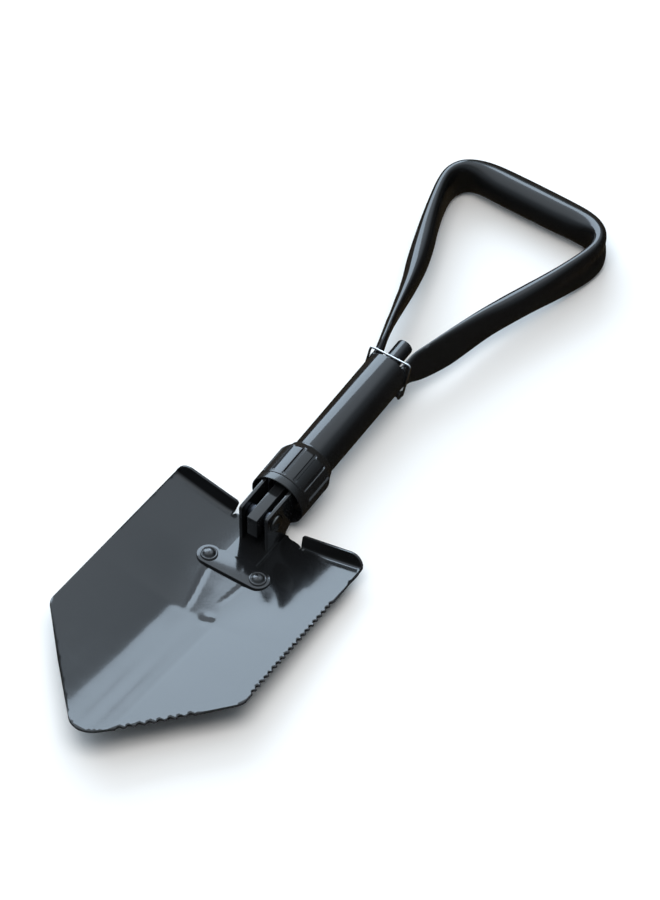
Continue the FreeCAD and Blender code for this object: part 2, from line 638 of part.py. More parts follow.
NODES = {
    "shaft_tube": make_shaft_tube,
    "threaded_sleeve": make_threaded_sleeve,
    "sleeve_cross_pin": make_sleeve_cross_pin,
    "hinge_tongue": make_hinge_tongue,
    "upper_end_plug": make_upper_end_plug,
    "spring_seat": make_spring_seat,
    "handle_pivot_pin": make_handle_pivot_pin,
    "lock_plunger": make_lock_plunger,
    "lock_spring": make_lock_spring,
    "collar_sleeve": make_collar_sleeve,
    "collar_insert_nut": make_collar_insert_nut,
    "collar_front_ring": make_collar_front_ring,
    "blade": make_blade,
    "blade_bracket": make_blade_bracket,
    "blade_rivet_left": lambda: make_rivet(-1),
    "blade_rivet_right": lambda: make_rivet(1),
    "rivet_washer_left": lambda: make_rivet_washer(-1),
    "rivet_washer_right": lambda: make_rivet_washer(1),
    "blade_hinge_pin": make_blade_hinge_pin,
    "hinge_spacer_left": lambda: make_hinge_spacer(-1),
    "hinge_spacer_right": lambda: make_hinge_spacer(1),
    "handle_tube": make_handle_tube,
    "wire_bail": make_wire_bail,
}

os.makedirs("parts", exist_ok=True)
for node, make in NODES.items():
    laid_down(make()).exportStep(f"parts/{node}.step")
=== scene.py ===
"""Looks for the folding camp shovel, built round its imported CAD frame.

Shapes are drawn in millimetres in the shaft's frame (X right, Y along the shaft towards the grip, Z out
of the blade's hollow face) and placed in the row's frame, in metres, by LIE."""

import math

import bmesh
import bpy
from mathutils import Matrix, Vector
from mathutils.geometry import delaunay_2d_cdt


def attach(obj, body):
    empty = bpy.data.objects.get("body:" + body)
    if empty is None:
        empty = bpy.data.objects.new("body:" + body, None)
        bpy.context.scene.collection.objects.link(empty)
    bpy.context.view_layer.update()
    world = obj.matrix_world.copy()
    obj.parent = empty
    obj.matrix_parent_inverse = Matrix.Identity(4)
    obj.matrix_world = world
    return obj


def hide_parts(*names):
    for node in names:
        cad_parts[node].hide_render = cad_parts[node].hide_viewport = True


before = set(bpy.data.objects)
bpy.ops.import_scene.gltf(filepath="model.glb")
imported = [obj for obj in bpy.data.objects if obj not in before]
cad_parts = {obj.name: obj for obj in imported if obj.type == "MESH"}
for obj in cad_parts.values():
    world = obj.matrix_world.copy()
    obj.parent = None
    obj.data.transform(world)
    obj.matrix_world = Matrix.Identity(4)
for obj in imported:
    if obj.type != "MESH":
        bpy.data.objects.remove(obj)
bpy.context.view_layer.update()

# How the shovel lies, the same as in the CAD
LIE = (
    Matrix.Scale(0.001, 4)
    @ Matrix.Translation((0, 85.065, 24.5623))
    @ Matrix.Rotation(math.radians(0.1476), 4, "X")
)

# Shaft, hinge and collar
TUBE_R, TUBE_BORE_R, TUBE_LENGTH = 15.6, 13.9, 104.5
SLOT_HALF_WIDTH, SLOT_LENGTH = 10.3, 26.0
HINGE_Y, HINGE_Z = -154.5, 2.5
TONGUE_HALF_WIDTH, TONGUE_HALF_HEIGHT, TONGUE_REACH = 4.0, 9.0, 12.2
EAR_INNER_X, EAR_OUTER_X, EAR_LIMIT_R = 9.2, 11.7, 25.2
EAR_BOTTOM, EAR_FRONT = -10.5, 12.7
COLLAR_R, COLLAR_SLOTS = 20.7, 14

# Blade
BLADE_TOP_Y, BLADE_TOP_Z, BLADE_TILT = -148.5, -9.3, 4.8
SHEET = 2.0
TOP_HALF_WIDTH, CORNER_HALF_WIDTH, CORNER_U = 76.5, 79.0, 145.0
TIP_U, TIP_RADIUS = 232.0, 15.0
TROUGH_HALF_WIDTH, TROUGH_DEPTH, TIP_DEPTH, FULL_DEPTH_U = 17.0, 12.4, 3.0, 90.0
SEAT_HALF_WIDTH, SEAT_FADE_U = 28.5, 40.0
SOFT_FOLD_R, LEFT_FOLD_R, RIGHT_FOLD_R = 6.0, 2.4, 1.0  # the wings' folds, soft near the bracket
CRISP_START_U, CRISP_RUN = 60.0, 35.0
NECK_HALF_WIDTH, NOTCH_HALF_WIDTH, NOTCH_U = 14.0, 28.0, -4.5
FLANGE_HEIGHT, FLANGE_LEAN, FLANGE_BEND_R, FLANGE_CORNER_R = 7.5, 15.0, 2.5, 9.0
RIVET_X, RIVET_U = 20.0, 40.0
# First scallop's place, number of scallops, pitch and depth of each sawn edge
SIDE_SAW, TIP_SAW = (34.5, 20, 5.05, 1.9), (33.5, 8, 7.0, 1.7)
# Height, start (x, u), end (x, u) and half width of each pressed line
PRESSED_LINES = (
    (-0.9, (-15.5, 49.0), (-6.0, 87.0), 1.3),
    (-0.6, (14.0, 48.0), (10.9, 71.0), 0.9),
    (-0.22, (17.6, 96.0), (17.4, 224.0), 0.9),
)
# Height, x and its spread, u and its spread of each soft hill or hollow
SOFT_HILLS = (
    (0.45, 12.5, 3.0, 86.0, 2.4),
    (-0.45, 10.5, 3.6, 91.5, 3.0),
    (-0.30, -2.0, 7.0, 104.0, 14.0),
    (0.22, 6.5, 3.0, 170.0, 45.0),
    (-0.18, -1.0, 3.0, 185.0, 40.0),
)
SKIN_SHARE = 0.9965  # keeps the thickened skin's back edge inside the CAD blade

# Handle and its small parts
HANDLE_PIN_Y, HANDLE_PIN_Z = -6.7, -10.0
STUD_R, STUD_Z, STUD_TOP_Y = 6.0, 3.7, 22.5

BLADE_PLACE = (
    Matrix.Translation((0, BLADE_TOP_Y, BLADE_TOP_Z))
    @ Matrix.Rotation(math.radians(-BLADE_TILT), 4, "X")
)


# ---------------------------------------------------------------- mesh helpers

def new_object(name, mesh, body, material, nodes=(), place=Matrix.Identity(4), angle=35):
    """Places a mesh drawn in millimetres, gives it its material and hands it to its body."""
    mesh.transform(LIE @ place)
    mesh.materials.append(material)
    obj = bpy.data.objects.new(name, mesh)
    bpy.context.scene.collection.objects.link(obj)
    mesh.shade_smooth()
    if angle:
        mesh.set_sharp_from_angle(angle=math.radians(angle))
    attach(obj, body)
    if nodes:
        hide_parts(*nodes)
    return obj


def mesh_from(name, points, faces, merge=0.0):
    """Mesh with outward normals from points and faces."""
    bm = bmesh.new()
    verts = [bm.verts.new(p) for p in points]
    for face in faces:
        corners = [verts[i] for i in face]
        if len(set(corners)) > 2:
            bm.faces.new(corners)
    if merge:
        bmesh.ops.remove_doubles(bm, verts=bm.verts, dist=merge)
    bmesh.ops.recalc_face_normals(bm, faces=bm.faces)
    mesh = bpy.data.meshes.new(name)
    bm.to_mesh(mesh)
    bm.free()
    return mesh


def ring_faces(rings, around, closed_ends=False, joined=False):
    """Quads between rings of equal size; joined closes the last ring to the first."""
    faces = []
    for i in range(rings if joined else rings - 1):
        j = (i + 1) % rings
        for k in range(around):
            n = (k + 1) % around
            faces.append((i * around + k, i * around + n, j * around + n, j * around + k))
    if closed_ends:
        faces.append(tuple(range(around)))
        faces.append(tuple(range((rings - 1) * around, rings * around)))
    return faces


def lathe(name, profile, around=96, radius_at=None, joined=False, closed_ends=False):
    """Turned mesh about Y from (radius, y) points; radius_at may change each point's radius by its angle."""
    points = []
    for radius, y in profile:
        for k in range(around):
            angle = 2 * math.pi * k / around
            r = radius_at(radius, y, angle) if radius_at else radius
            points.append((r * math.sin(angle), y, r * math.cos(angle)))
    return mesh_from(name, points, ring_faces(len(profile), around, closed_ends, joined), 0.0005)


def rounded(profile, radius, steps=4, closed=False):
    """The same outline with its corners rounded."""
    count = len(profile)
    result = []
    for i, point in enumerate(profile):
        if not closed and i in (0, count - 1):
            result.append(tuple(point))
            continue
        corner = Vector(point)
        before = Vector(profile[i - 1]) - corner
        after = Vector(profile[(i + 1) % count]) - corner
        back = min(radius, before.length * 0.45, after.length * 0.45)
        start = corner + before.normalized() * back
        end = corner + after.normalized() * back
        for k in range(steps + 1):
            t = k / steps
            result.append(tuple(start * (1 - t) ** 2 + corner * 2 * t * (1 - t) + end * t * t))
    return result


def prism(name, outline, low, high, bevel=0.5, axis="X"):
    """Plate with bevelled edges: an outline of (y, z) or (x, y) points drawn out between two limits."""
    bm = bmesh.new()
    rings = []
    for level in (low, high):
        if axis == "X":
            rings.append([bm.verts.new((level, a, b)) for a, b in outline])
        else:
            rings.append([bm.verts.new((a, b, level)) for a, b in outline])
    count = len(outline)
    bm.faces.new(rings[0])
    bm.faces.new(rings[1])
    for k in range(count):
        n = (k + 1) % count
        bm.faces.new((rings[0][k], rings[0][n], rings[1][n], rings[1][k]))
    bmesh.ops.recalc_face_normals(bm, faces=bm.faces)
    if bevel:
        rims = [e for e in bm.edges if e.calc_face_angle(0) > math.radians(40)]
        bmesh.ops.bevel(
            bm, geom=rims, offset=bevel, segments=3, profile=0.6, affect="EDGES", clamp_overlap=True,
        )
    mesh = bpy.data.meshes.new(name)
    bm.to_mesh(mesh)
    bm.free()
    return mesh


def joined_mesh(name, meshes):
    """One mesh from several."""
    bm = bmesh.new()
    for mesh in meshes:
        bm.from_mesh(mesh)
    result = bpy.data.meshes.new(name)
    bm.to_mesh(result)
    bm.free()
    return result


def arc(centre, radius, start, end, steps):
    """Points (a, b) round an arc in degrees."""
    return [
        (
            centre[0] + radius * math.cos(math.radians(start + (end - start) * k / steps)),
            centre[1] + radius * math.sin(math.radians(start + (end - start) * k / steps)),
        )
        for k in range(steps + 1)
    ]


def smooth_step(t):
    t = max(0.0, min(1.0, t))
    return t * t * (3 - 2 * t)


def bump(value, centre, width):
    """Soft hill of height 1."""
    return math.exp(-((value - centre) / width) ** 2)


# ---------------------------------------------------------------- materials

class Nodes:
    """Short names for building one material."""

    def __init__(self, name):
        self.material = bpy.data.materials.new(name)
        self.material.use_nodes = True
        self.tree = self.material.node_tree
        self.shader = self.tree.nodes["Principled BSDF"]
        self.place = self.add("ShaderNodeTexCoord").outputs["Object"]

    def add(self, kind, **settings):
        node = self.tree.nodes.new(kind)
        for key, value in settings.items():
            setattr(node, key, value)
        return node

    def link(self, source, target):
        self.tree.links.new(source, target)

    def noise(self, scale, detail=3.0, roughness=0.5, distortion=0.0, stretch=(1, 1, 1)):
        mapping = self.add("ShaderNodeMapping")
        mapping.inputs["Scale"].default_value = stretch
        self.link(self.place, mapping.inputs["Vector"])
        node = self.add("ShaderNodeTexNoise")
        self.link(mapping.outputs["Vector"], node.inputs["Vector"])
        node.inputs["Scale"].default_value = scale
        node.inputs["Detail"].default_value = detail
        node.inputs["Roughness"].default_value = roughness
        node.inputs["Distortion"].default_value = distortion
        return node.outputs["Fac"]

    def ramp(self, source, stops):
        node = self.add("ShaderNodeValToRGB")
        ramp = node.color_ramp
        while len(ramp.elements) < len(stops):
            ramp.elements.new(0.5)
        for element, (position, value) in zip(ramp.elements, stops):
            element.position = position
            element.color = (*value, 1) if isinstance(value, tuple) else (value, value, value, 1)
        self.link(source, node.inputs["Fac"])
        return node.outputs["Color"]

    def mixed(self, amount, first, second):
        node = self.add("ShaderNodeMix", data_type="RGBA")
        self.link(amount, node.inputs["Factor"])
        for value, target in ((first, node.inputs["A"]), (second, node.inputs["B"])):
            if isinstance(value, tuple):
                target.default_value = (*value, 1)
            else:
                self.link(value, target)
        return node.outputs["Result"]

    def worn_edges(self):
        """White where the surface is a sharp outer edge."""
        geometry = self.add("ShaderNodeNewGeometry")
        return self.ramp(geometry.outputs["Pointiness"], [(0.52, 0.0), (0.62, 1.0)])

    def bumps(self, layers):
        """Chain of bump nodes from (height source, strength, distance in metres)."""
        normal = None
        for source, strength, distance in layers:
            node = self.add("ShaderNodeBump")
            node.inputs["Strength"].default_value = strength
            node.inputs["Distance"].default_value = distance
            self.link(source, node.inputs["Height"])
            if normal:
                self.link(normal, node.inputs["Normal"])
            normal = node.outputs["Normal"]
        self.link(normal, self.shader.inputs["Normal"])
        return normal


def gloss_paint(name, colour, dust_and_sheen_tone=(0.06, 0.062, 0.065), roughness=0.12, peel=0.10, waves=0.25, dust_and_sheen_amount=0.10):
    """Glossy black enamel: orange peel, slow waves of the sheet, faint dust with a painted sheen, and rubbed
    edges.
    """
    n = Nodes(name)
    # Slow smudges lighten the black: partly dust, partly a painted sheen that stands in for a soft reflection
    # on the paint.
    dust_and_sheen_mask = n.ramp(n.noise(9, 4, 0.6, 0.4), [(0.42, 0.0), (0.8, dust_and_sheen_amount)])
    specks = n.ramp(n.noise(420, 2, 0.6), [(0.76, 0.0), (0.84, 0.06)])
    painted_dust_and_sheen = n.mixed(dust_and_sheen_mask, colour, dust_and_sheen_tone)
    painted_dust_and_sheen = n.mixed(specks, painted_dust_and_sheen, (0.05, 0.052, 0.055))
    worn = n.mixed(n.worn_edges(), painted_dust_and_sheen, (0.05, 0.052, 0.055))
    n.link(worn, n.shader.inputs["Base Color"])
    rough = n.ramp(n.noise(30, 4, 0.65), [(0.3, roughness * 0.75), (0.75, roughness * 1.45)])
    n.link(rough, n.shader.inputs["Roughness"])
    n.shader.inputs["IOR"].default_value = 1.5
    n.shader.inputs["Coat Weight"].default_value = 0.25
    n.shader.inputs["Coat Roughness"].default_value = 0.05
    n.shader.inputs["Coat IOR"].default_value = 1.55
    peel_height = n.noise(480, 2, 0.5)
    wave_height = n.noise(26, 2, 0.4)
    normal = n.bumps([(wave_height, waves, 0.0006), (peel_height, peel, 0.00008)])
    n.link(normal, n.shader.inputs["Coat Normal"])
    return n.material


def bare_steel(name, colour, roughness=0.3, stretch=(1, 60, 1), polish=0.15):
    """Metal with fine drawn lines and faint tarnish."""
    n = Nodes(name)
    tarnish = n.ramp(n.noise(160, 4, 0.6), [(0.4, 0.0), (0.75, 0.5)])
    n.link(n.mixed(tarnish, colour, tuple(c * 0.55 for c in colour)), n.shader.inputs["Base Color"])
    n.shader.inputs["Metallic"].default_value = 1.0
    lines = n.noise(300, 3, 0.6, 0.0, stretch)
    n.link(n.ramp(lines, [(0.3, roughness * 0.7), (0.7, roughness * 1.3)]), n.shader.inputs["Roughness"])
    n.bumps([(lines, polish, 0.00002)])
    return n.material


black_paint = gloss_paint("black_paint", (0.005, 0.0052, 0.0055))
handle_paint = gloss_paint("handle_paint", (0.005, 0.0052, 0.0053), waves=0.5)
collar_paint = gloss_paint("collar_paint", (0.008, 0.0082, 0.0084), roughness=0.22, peel=0.2, waves=0.1)
rivet_paint = gloss_paint("rivet_paint", (0.010, 0.0105, 0.011), roughness=0.15, waves=0.05)
stud_paint = gloss_paint("stud_paint", (0.009, 0.0092, 0.0095), roughness=0.2, waves=0.05)
thread_steel = bare_steel("thread_steel", (0.30, 0.30, 0.31), 0.35)
pin_steel = bare_steel("pin_steel", (0.24, 0.24, 0.23), 0.26)
spacer_steel = bare_steel("spacer_steel", (0.10, 0.11, 0.13), 0.25)
spring_steel = bare_steel("spring_steel", (0.35, 0.35, 0.36), 0.3)
wire_steel = bare_steel("wire_steel", (0.72, 0.73, 0.75), 0.16, (60, 1, 1), 0.05)

for node, material in (
    ("sleeve_cross_pin", thread_steel),
    ("spring_seat", thread_steel),
    ("upper_end_plug", black_paint),
    ("lock_spring", spring_steel),
    ("collar_insert_nut", collar_paint),
    ("rivet_washer_left", rivet_paint),
    ("rivet_washer_right", rivet_paint),
):
    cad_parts[node].data.materials.clear()
    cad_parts[node].data.materials.append(material)


# ---------------------------------------------------------------- blade

def crease(distance, radius):
    """Ramp that starts at 0 and blends into slope 1 over a rounded fold."""
    if distance > 6 * radius:
        return distance
    return radius * math.log1p(math.exp(distance / radius))


def blade_half_width(u):
    """Half width of the flat floor at distance u from the top edge."""
    t = smooth_step((u - SEAT_FADE_U) / (FULL_DEPTH_U - SEAT_FADE_U))
    return SEAT_HALF_WIDTH + (TROUGH_HALF_WIDTH - SEAT_HALF_WIDTH) * t


def near_line(x, u, start, end, width):
    """Height 1 on a line, fading over a width, tapered towards its end."""
    run = math.dist(start, end)
    along = ((end[0] - start[0]) / run, (end[1] - start[1]) / run)
    s = (x - start[0]) * along[0] + (u - start[1]) * along[1]
    off = (x - start[0]) * along[1] - (u - start[1]) * along[0]
    t = s / run
    if t < -0.15 or t > 1.15:
        return 0.0
    fade = smooth_step((t + 0.15) / 0.25) * smooth_step((1.15 - t) / 0.5)
    return fade * math.exp(-((off / width) ** 2))


def blade_depth(x, u):
    """Height of the sheet's hollow face: flat floor, two wings, pressed darts and a dimple."""
    u = max(u, 0.0)
    side = abs(x)
    depth = TROUGH_DEPTH
    if u > FULL_DEPTH_U:
        depth += (TIP_DEPTH - TROUGH_DEPTH) * (u - FULL_DEPTH_U) / (TIP_U - FULL_DEPTH_U)
    half = blade_half_width(u)
    slope = depth / (CORNER_HALF_WIDTH - half)
    crisp = smooth_step((u - CRISP_START_U) / CRISP_RUN)
    fold = SOFT_FOLD_R + ((LEFT_FOLD_R if x < 0 else RIGHT_FOLD_R) - SOFT_FOLD_R) * crisp
    w = -depth + slope * (crease(side - half, fold) - crease(-half, fold))
    for height, start, end, width in PRESSED_LINES:
        w += height * near_line(x, u, start, end, width)
    for height, hill_x, spread_x, hill_u, spread_u in SOFT_HILLS:
        w += height * bump(x, hill_x, spread_x) * bump(u, hill_u, spread_u)
    return w


def toothed_edge(start, end, first, count, pitch, depth):
    """Points along a straight edge with rounded scallops cut into its right-hand side."""
    run = math.dist(start, end)
    along = ((end[0] - start[0]) / run, (end[1] - start[1]) / run)
    inward = (-along[1], along[0])
    points = []
    for index in range(count):
        for step, cut in ((0.0, 0.0), (0.14, 0.5), (0.3, 0.92), (0.46, 0.92), (0.62, 0.5), (0.76, 0.0)):
            s = first + (index + step) * pitch
            points.append((start[0] + s * along[0] + cut * depth * inward[0],
                           start[1] + s * along[1] + cut * depth * inward[1]))
    return points


def blade_outline():
    """Outline in the unfolded sheet as (x, s), with s negative on the flange and the neck."""
    lower_run = math.hypot(CORNER_HALF_WIDTH, TIP_U - CORNER_U)
    toward_tip = (-CORNER_HALF_WIDTH / lower_run, (TIP_U - CORNER_U) / lower_run)
    tip_cut = TIP_RADIUS * (TIP_U - CORNER_U) / CORNER_HALF_WIDTH
    tip_start = (-toward_tip[0] * tip_cut, TIP_U - toward_tip[1] * tip_cut)
    half_angle = math.atan2(CORNER_HALF_WIDTH, TIP_U - CORNER_U)
    centre_u = TIP_U - TIP_RADIUS / math.sin(half_angle)
    corner = (CORNER_HALF_WIDTH, CORNER_U)
    top = (TOP_HALF_WIDTH, 0.0)
    flange_top = -(math.radians(90 - FLANGE_LEAN) * FLANGE_BEND_R + FLANGE_HEIGHT)
    side_run = math.dist(top, corner)
    back = 4.0
    into = ((top[0] - corner[0]) / side_run, (top[1] - corner[1]) / side_run)
    before = (corner[0] + back * into[0], corner[1] + back * into[1])
    after = (corner[0] + back * toward_tip[0], corner[1] + back * toward_tip[1])
    around_corner = [
        tuple(before[i] * (1 - t) ** 2 + corner[i] * 2 * t * (1 - t) + after[i] * t * t for i in (0, 1))
        for t in (0.0, 0.25, 0.5, 0.75, 1.0)
    ]
    inner = NOTCH_HALF_WIDTH + 0.3
    shoulder_centre = (TOP_HALF_WIDTH - FLANGE_CORNER_R, flange_top + FLANGE_CORNER_R)
    shoulder = arc(shoulder_centre, FLANGE_CORNER_R, -90, 0, 8)
    neck = [
        (NECK_HALF_WIDTH, NOTCH_U - 2),
        (NECK_HALF_WIDTH + 1.2, NOTCH_U - 0.9),
        (NECK_HALF_WIDTH + 3.2, NOTCH_U - 0.3),
        (NECK_HALF_WIDTH + 7, NOTCH_U),
        (NOTCH_HALF_WIDTH - 4, NOTCH_U + 0.6),
        (NOTCH_HALF_WIDTH - 1.4, NOTCH_U + 2),
        (NOTCH_HALF_WIDTH - 0.4, NOTCH_U + 3.6),
        (NOTCH_HALF_WIDTH - 0.2, 0.1),
        (inner, 0.1),
        (inner, flange_top + 1.2),
        (inner + 1.2, flange_top),
    ]
    plain = neck + shoulder + around_corner
    sawn = neck + shoulder + toothed_edge(top, corner, *SIDE_SAW) + around_corner
    sawn += toothed_edge(corner, (0.0, TIP_U), *TIP_SAW)
    sweep = math.pi / 2 - half_angle
    tip = [
        (TIP_RADIUS * math.sin(sweep * (1 - k / 8)), centre_u + TIP_RADIUS * math.cos(sweep * (1 - k / 8)))
        for k in range(17)
    ]
    left = [(-x, s) for x, s in reversed(plain + [tip_start])]
    return sawn + [tip_start] + tip[1:-1] + left


def unfolded_to_space(x, s):
    """Place of an unfolded point in the blade's own frame."""
    x *= SKIN_SHARE
    if s >= 0 or abs(x) < NOTCH_HALF_WIDTH:
        return Vector((x, -s, blade_depth(x, s)))
    slope = math.atan2(blade_depth(70, 0) - blade_depth(40, 0), 30)
    lean = math.radians(90 - FLANGE_LEAN)
    angle = min(-s / FLANGE_BEND_R, lean)
    rest = -s - angle * FLANGE_BEND_R
    forward = FLANGE_BEND_R * math.sin(angle) + rest * math.cos(lean)
    up = FLANGE_BEND_R * (1 - math.cos(angle)) + rest * math.sin(lean)
    side = 1 if x > 0 else -1
    base = Vector((x, 0, blade_depth(x, 0)))
    return base + Vector((-side * math.sin(slope) * up, forward, math.cos(slope) * up))


def blade_mesh():
    outline = [Vector(p) for p in blade_outline()]
    edges = [(i, (i + 1) % len(outline)) for i in range(len(outline))]
    inside = []
    step = 2.0
    flange_top = min(p.y for p in outline)
    levels = [flange_top + 0.8 * k for k in range(1, int(-flange_top / 0.8))]
    levels += [0.5 + step * k for k in range(120)]
    for row, s in enumerate(levels):
        for column in range(-42, 43):
            x = (column + 0.5 * (row % 2)) * step
            inside.append(Vector((x, s)))
    guard = 0.55
    segments = [(outline[a], outline[b]) for a, b in edges]

    def clear(point):
        for a, b in segments:
            if abs(a.y - point.y) > 12 and abs(b.y - point.y) > 12 and abs(b.y - a.y) < 24:
                continue
            run = b - a
            t = max(0.0, min(1.0, (point - a).dot(run) / max(run.length_squared, 1e-9)))
            if (a + run * t - point).length < guard:
                return False
        return True

    points = outline + [p for p in inside if clear(p)]
    flat, _, faces, *_ = delaunay_2d_cdt(points, edges, [], 1, 1e-5)
    bm = bmesh.new()
    verts = [bm.verts.new(unfolded_to_space(p.x, p.y)) for p in flat]
    for face in faces:
        middle = sum((flat[i] for i in face), Vector((0, 0))) / len(face)
        if abs(abs(middle.x) - NOTCH_HALF_WIDTH) < 0.3 and middle.y < 0.1:
            continue
        bm.faces.new([verts[i] for i in face])
    for vert in [v for v in bm.verts if not v.link_faces]:
        bm.verts.remove(vert)
    bm.normal_update()
    if sum(f.normal.z for f in bm.faces) < 0:
        bmesh.ops.reverse_faces(bm, faces=bm.faces)
        bm.normal_update()
    # Thicken towards the back with a narrow rounded rim on both faces.
    rim = 0.35
    normals = {v: v.normal.copy() for v in bm.verts}
    front = list(bm.verts)
    front_faces = list(bm.faces)
    border = {v for e in bm.edges if e.is_boundary for v in e.verts}
    border_edges = [e for e in bm.edges if e.is_boundary]
    inward = {}
    for v in border:
        pull = Vector((0, 0, 0))
        for e in v.link_edges:
            if not e.is_boundary:
                pull += (e.other_vert(v).co - v.co).normalized()
        inward[v] = pull.normalized() if pull.length > 1e-6 else Vector((0, 0, 0))
    rows = {v: [v] for v in front}
    back = {}
    for v in front:
        if v in border:
            middle_front = bm.verts.new(v.co - normals[v] * rim)
            middle_back = bm.verts.new(v.co - normals[v] * (SHEET - rim))
            last = bm.verts.new(v.co - normals[v] * SHEET + inward[v] * rim)
            rows[v] += [middle_front, middle_back, last]
            back[v] = last
        else:
            back[v] = bm.verts.new(v.co - normals[v] * SHEET)
    for face in front_faces:
        bm.faces.new([back[v] for v in reversed(face.verts)])
    for edge in border_edges:
        a, b = edge.verts
        loop = edge.link_loops[0]
        if loop.vert == a:
            a, b = b, a
        for k in range(3):
            bm.faces.new((rows[a][k], rows[b][k], rows[b][k + 1], rows[a][k + 1]))
    for v in border:
        v.co += inward[v] * rim
    mesh = bpy.data.meshes.new("blade_skin")
    bm.to_mesh(mesh)
    bm.free()
    return mesh


new_object("blade_skin", blade_mesh(), "blade", black_paint, ["blade"], BLADE_PLACE, 50)


def bracket_mesh():
    """Hinge bracket: riveted plate with two lugs and the two ears that stand up from it."""
    bottom = -TROUGH_DEPTH
    plate_outline = [(-12.5, -3.5), (-12.5, -30.5)]
    plate_outline += arc((-20.0, -RIVET_U), 8.5, 65, 270, 20)
    plate_outline += arc((20.0, -RIVET_U), 8.5, -90, 115, 20)
    plate_outline += [(12.5, -30.5), (12.5, -3.5)]
    plate = prism("plate", plate_outline, bottom + 0.02, bottom + 2.0, 0.6, "Z")
    plate.transform(BLADE_PLACE)
    meshes = [plate]
    tilt = math.radians(BLADE_TILT)

    def plate_z(y):
        return BLADE_TOP_Z + (BLADE_TOP_Y - y) * math.tan(tilt) + (bottom + 1.0) / math.cos(tilt)

    low_y = HINGE_Y + EAR_BOTTOM
    limit = EAR_LIMIT_R - 0.05
    outline = [(low_y, plate_z(low_y))]
    outline += arc((low_y + 2.2, HINGE_Z + EAR_FRONT - 2.2), 2.2, 180, 90, 6)
    outline.append((HINGE_Y + math.sqrt(limit**2 - EAR_FRONT**2), HINGE_Z + EAR_FRONT))
    outline += arc((HINGE_Y, HINGE_Z), limit, -29.2, -62.0, 10)
    last_y = outline[-1][0]
    outline.append((last_y, plate_z(last_y)))
    for side in (-1, 1):
        low, high = sorted((side * EAR_INNER_X, side * EAR_OUTER_X))
        meshes.append(prism("ear", outline, low + 0.02, high - 0.02, 0.45))
    return joined_mesh("bracket_skin", meshes)


new_object("bracket_skin", bracket_mesh(), "blade", black_paint, ["blade_bracket"])


def dome_profile(radius, height, foot=0.5, steps=10):
    """Profile (radius, height) of a low dome with a small upright foot."""
    sphere = (radius**2 + (height - foot) ** 2) / (2 * (height - foot))
    half = math.asin(min(1.0, radius / sphere))
    dome = [(sphere * math.sin(half * k / steps), height - sphere * (1 - math.cos(half * k / steps)))
            for k in range(steps + 1)]
    dome[0] = (0.001, height)
    return dome + [(radius, 0.0)]


for name, side in (("left", -1), ("right", 1)):
    # The head's dome sits on a narrow rolled ring; the shank's tail shows on the back.
    head = [
        (0.001, 2.9), (1.6, 2.8), (3.0, 2.4), (4.0, 1.7), (4.5, 1.0), (4.8, 0.9), (5.2, 1.2), (5.8, 1.15),
        (6.2, 0.7), (6.25, 0.0), (2.9, 0.0), (2.9, -5.4), (4.3, -5.4), (4.5, -5.8), (4.2, -6.4),
        (0.001, -6.6),
    ]
    mesh = lathe("rivet", head, 48)
    place = BLADE_PLACE @ Matrix.Translation((side * RIVET_X, -RIVET_U, -TROUGH_DEPTH + 2.0))
    place = place @ Matrix.Rotation(math.radians(90), 4, "X")
    new_object(
        f"rivet_skin_{name}", mesh, "blade", rivet_paint, [f"blade_rivet_{name}"], place, 50,
    )

pin_profile = dome_profile(6.4, 3.3, 0.8)
pin_meshes = []
for side in (-1, 1):
    head = lathe("pin_head", pin_profile, 48)
    head.transform(Matrix.Translation((side * (EAR_OUTER_X + 0.02), HINGE_Y, HINGE_Z))
                   @ Matrix.Rotation(math.radians(-90 * side), 4, "Z"))
    pin_meshes.append(head)
shank = lathe("pin_shank", [(3.96, -12.0), (3.96, 12.0)], 48, closed_ends=True)
shank.transform(Matrix.Translation((0, HINGE_Y, HINGE_Z)) @ Matrix.Rotation(math.radians(90), 4, "Z"))
pin_meshes.append(shank)
new_object("hinge_pin_skin", joined_mesh("hinge_pin", pin_meshes), "blade", pin_steel,
           ["blade_hinge_pin"], angle=50)

for name, side in (("left", -1), ("right", 1)):
    profile = rounded([(4.05, 0.0), (6.2, 0.0), (6.2, 4.9), (4.05, 4.9)], 0.5, closed=True)
    mesh = lathe("spacer", profile, 64, joined=True)
    place = Matrix.Translation((side * (TONGUE_HALF_WIDTH + 0.25), HINGE_Y, HINGE_Z))
    place = place @ Matrix.Rotation(math.radians(-90 * side), 4, "Z")
    new_object(
        f"spacer_skin_{name}", mesh, "blade", spacer_steel, [f"hinge_spacer_{name}"], place, 50,
    )


# ---------------------------------------------------------------- shaft

def tongue_mesh():
    low, high = HINGE_Z - TONGUE_HALF_HEIGHT, HINGE_Z + TONGUE_HALF_HEIGHT
    end = HINGE_Y - TONGUE_REACH + 0.05
    outline = [(end, low), (end, high), (-124.5, high), (-124.5, low)]
    blade = prism("tongue", outline, -TONGUE_HALF_WIDTH, TONGUE_HALF_WIDTH, 0.7)
    plug_outline = [(0.001, -106.0), (12.15, -106.0), (12.15, -124.0), (0.001, -124.0)]
    plug = lathe("plug", rounded(plug_outline, 0.8), 64)
    return joined_mesh("tongue", [blade, plug])


new_object("tongue_skin", tongue_mesh(), "shaft", black_paint, ["hinge_tongue"])


def tube_mesh():
    """Open tube with soft rims; the slot in its back is cut by a boolean."""
    edge = rounded([
        (TUBE_R, 0.0), (TUBE_BORE_R, 0.0), (TUBE_BORE_R, -TUBE_LENGTH), (TUBE_R, -TUBE_LENGTH),
    ], 0.55, 4, closed=True)
    return lathe("tube", edge, 128, joined=True)


